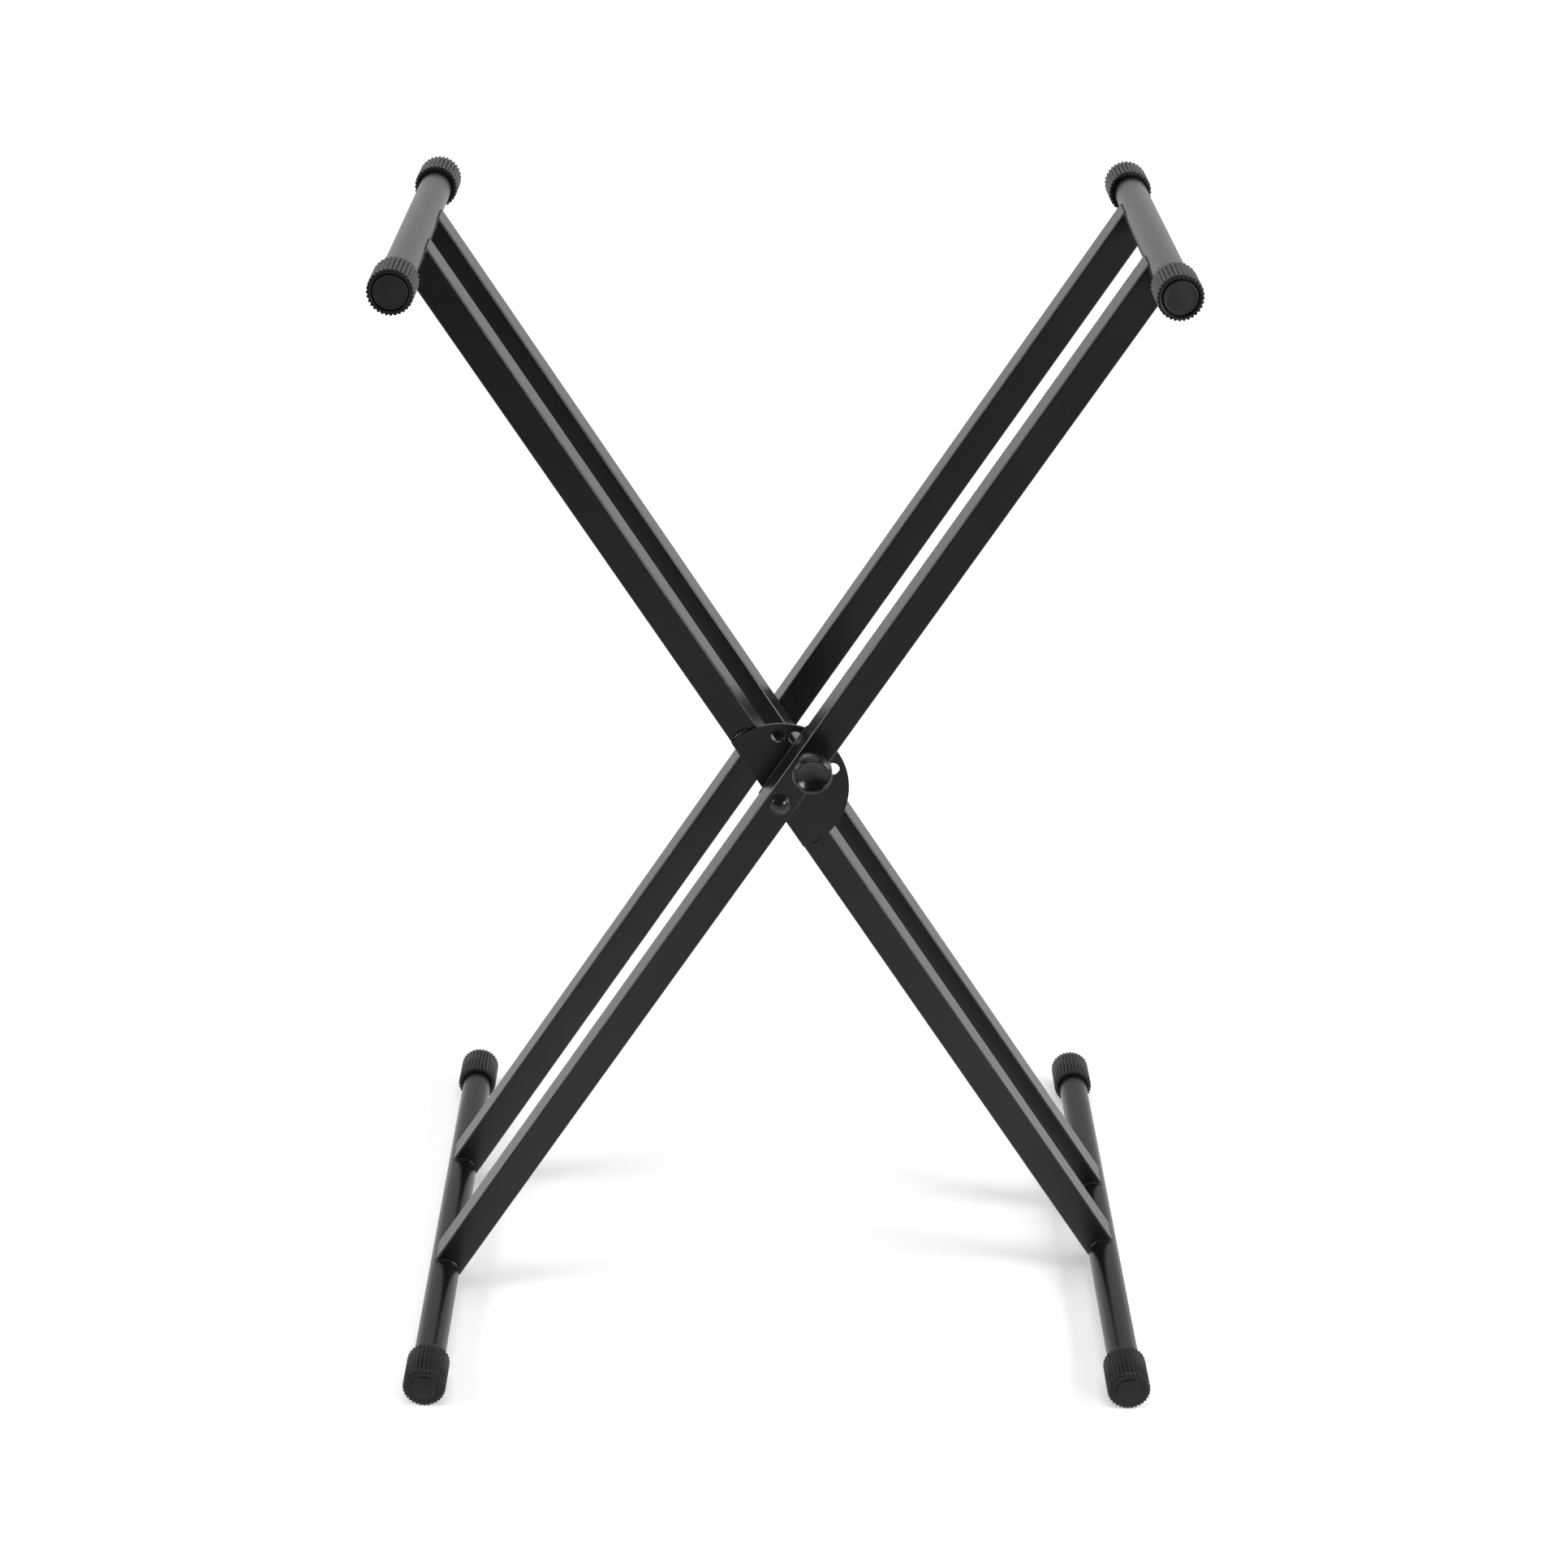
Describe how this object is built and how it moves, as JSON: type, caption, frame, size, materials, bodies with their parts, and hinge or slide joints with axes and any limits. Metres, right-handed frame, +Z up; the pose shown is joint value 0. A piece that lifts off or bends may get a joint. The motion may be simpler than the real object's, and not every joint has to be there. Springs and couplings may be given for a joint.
{
  "type": "folding keyboard stand",
  "caption": "Double-braced folding X stand of black rectangular tube with ribbed rubber sleeves and feet and a spring-pin lock on a sector plate.",
  "frame": {"origin": "on the floor, under the pivots, half-way between the front and rear bars", "axes": "+Z up, +Y from the locking knob's side to the plain side, +X towards the upper end of the outer pair of arms"},
  "size_m": [0.596, 0.5396, 0.9025],
  "materials": {
    "black_powder_coat": "satin fine-grain powder coat",
    "black_rubber": "matte ribbed rubber",
    "black_plastic": "moulded, satin",
    "knob_black": "moulded, knurled",
    "gloss_black": "polished",
    "nylon": "black nylon",
    "blackened_steel": "black zinc",
    "bright_steel": "zinc plated"
  },
  "bodies": {
    "outer_arms": {"backing_plate": "black_powder_coat", "front_pivot_bolt": "bright_steel", "front_pivot_cap": "gloss_black", "front_pivot_nut": "blackened_steel", "front_pivot_spacer": "nylon", "front_pivot_washer": "blackened_steel", "lock_guide": "nylon", "lock_housing": "blackened_steel", "lock_spring": "bright_steel", "outer_floor_tube": "black_powder_coat", "outer_front_bar": "black_powder_coat", "outer_front_bush": "bright_steel", "outer_front_foot": "black_rubber", "outer_front_grip": "black_rubber", "outer_front_plug": "black_plastic", "outer_rear_bar": "black_powder_coat", "outer_rear_bush": "bright_steel", "outer_rear_foot": "black_rubber", "outer_rear_grip": "black_rubber", "outer_rear_plug": "black_plastic", "outer_top_tube": "black_powder_coat", "rear_pivot_bolt": "bright_steel", "rear_pivot_cap": "gloss_black", "rear_pivot_nut": "blackened_steel", "rear_pivot_spacer": "nylon", "rear_pivot_washer": "blackened_steel"},
    "inner_arms": {"inner_floor_tube": "black_powder_coat", "inner_front_bar": "black_powder_coat", "inner_front_bush": "bright_steel", "inner_front_foot": "black_rubber", "inner_front_grip": "black_rubber", "inner_front_plug": "black_plastic", "inner_rear_bar": "black_powder_coat", "inner_rear_bush": "bright_steel", "inner_rear_foot": "black_rubber", "inner_rear_grip": "black_rubber", "inner_rear_plug": "black_plastic", "inner_top_tube": "black_powder_coat", "locking_plate": "black_powder_coat"},
    "lock_plunger": {"lock_pin": "bright_steel", "lock_knob": "knob_black", "lock_knob_cap": "gloss_black"}
  },
  "joints": [
    {"name": "frame_fold", "type": "hinge", "parent": "outer_arms", "child": "inner_arms", "pos_m": [0, 0, 0.45123], "axis": [0, 1, 0], "range_deg": [-36, 60]},
    {"name": "lock_pull", "type": "slide", "parent": "outer_arms", "child": "lock_plunger", "axis": [0, -1, 0], "range_m": [0, 0.008], "stiffness_N_per_m": 700, "springref_m": -0.004, "deforming": ["lock_spring"]}
  ]
}
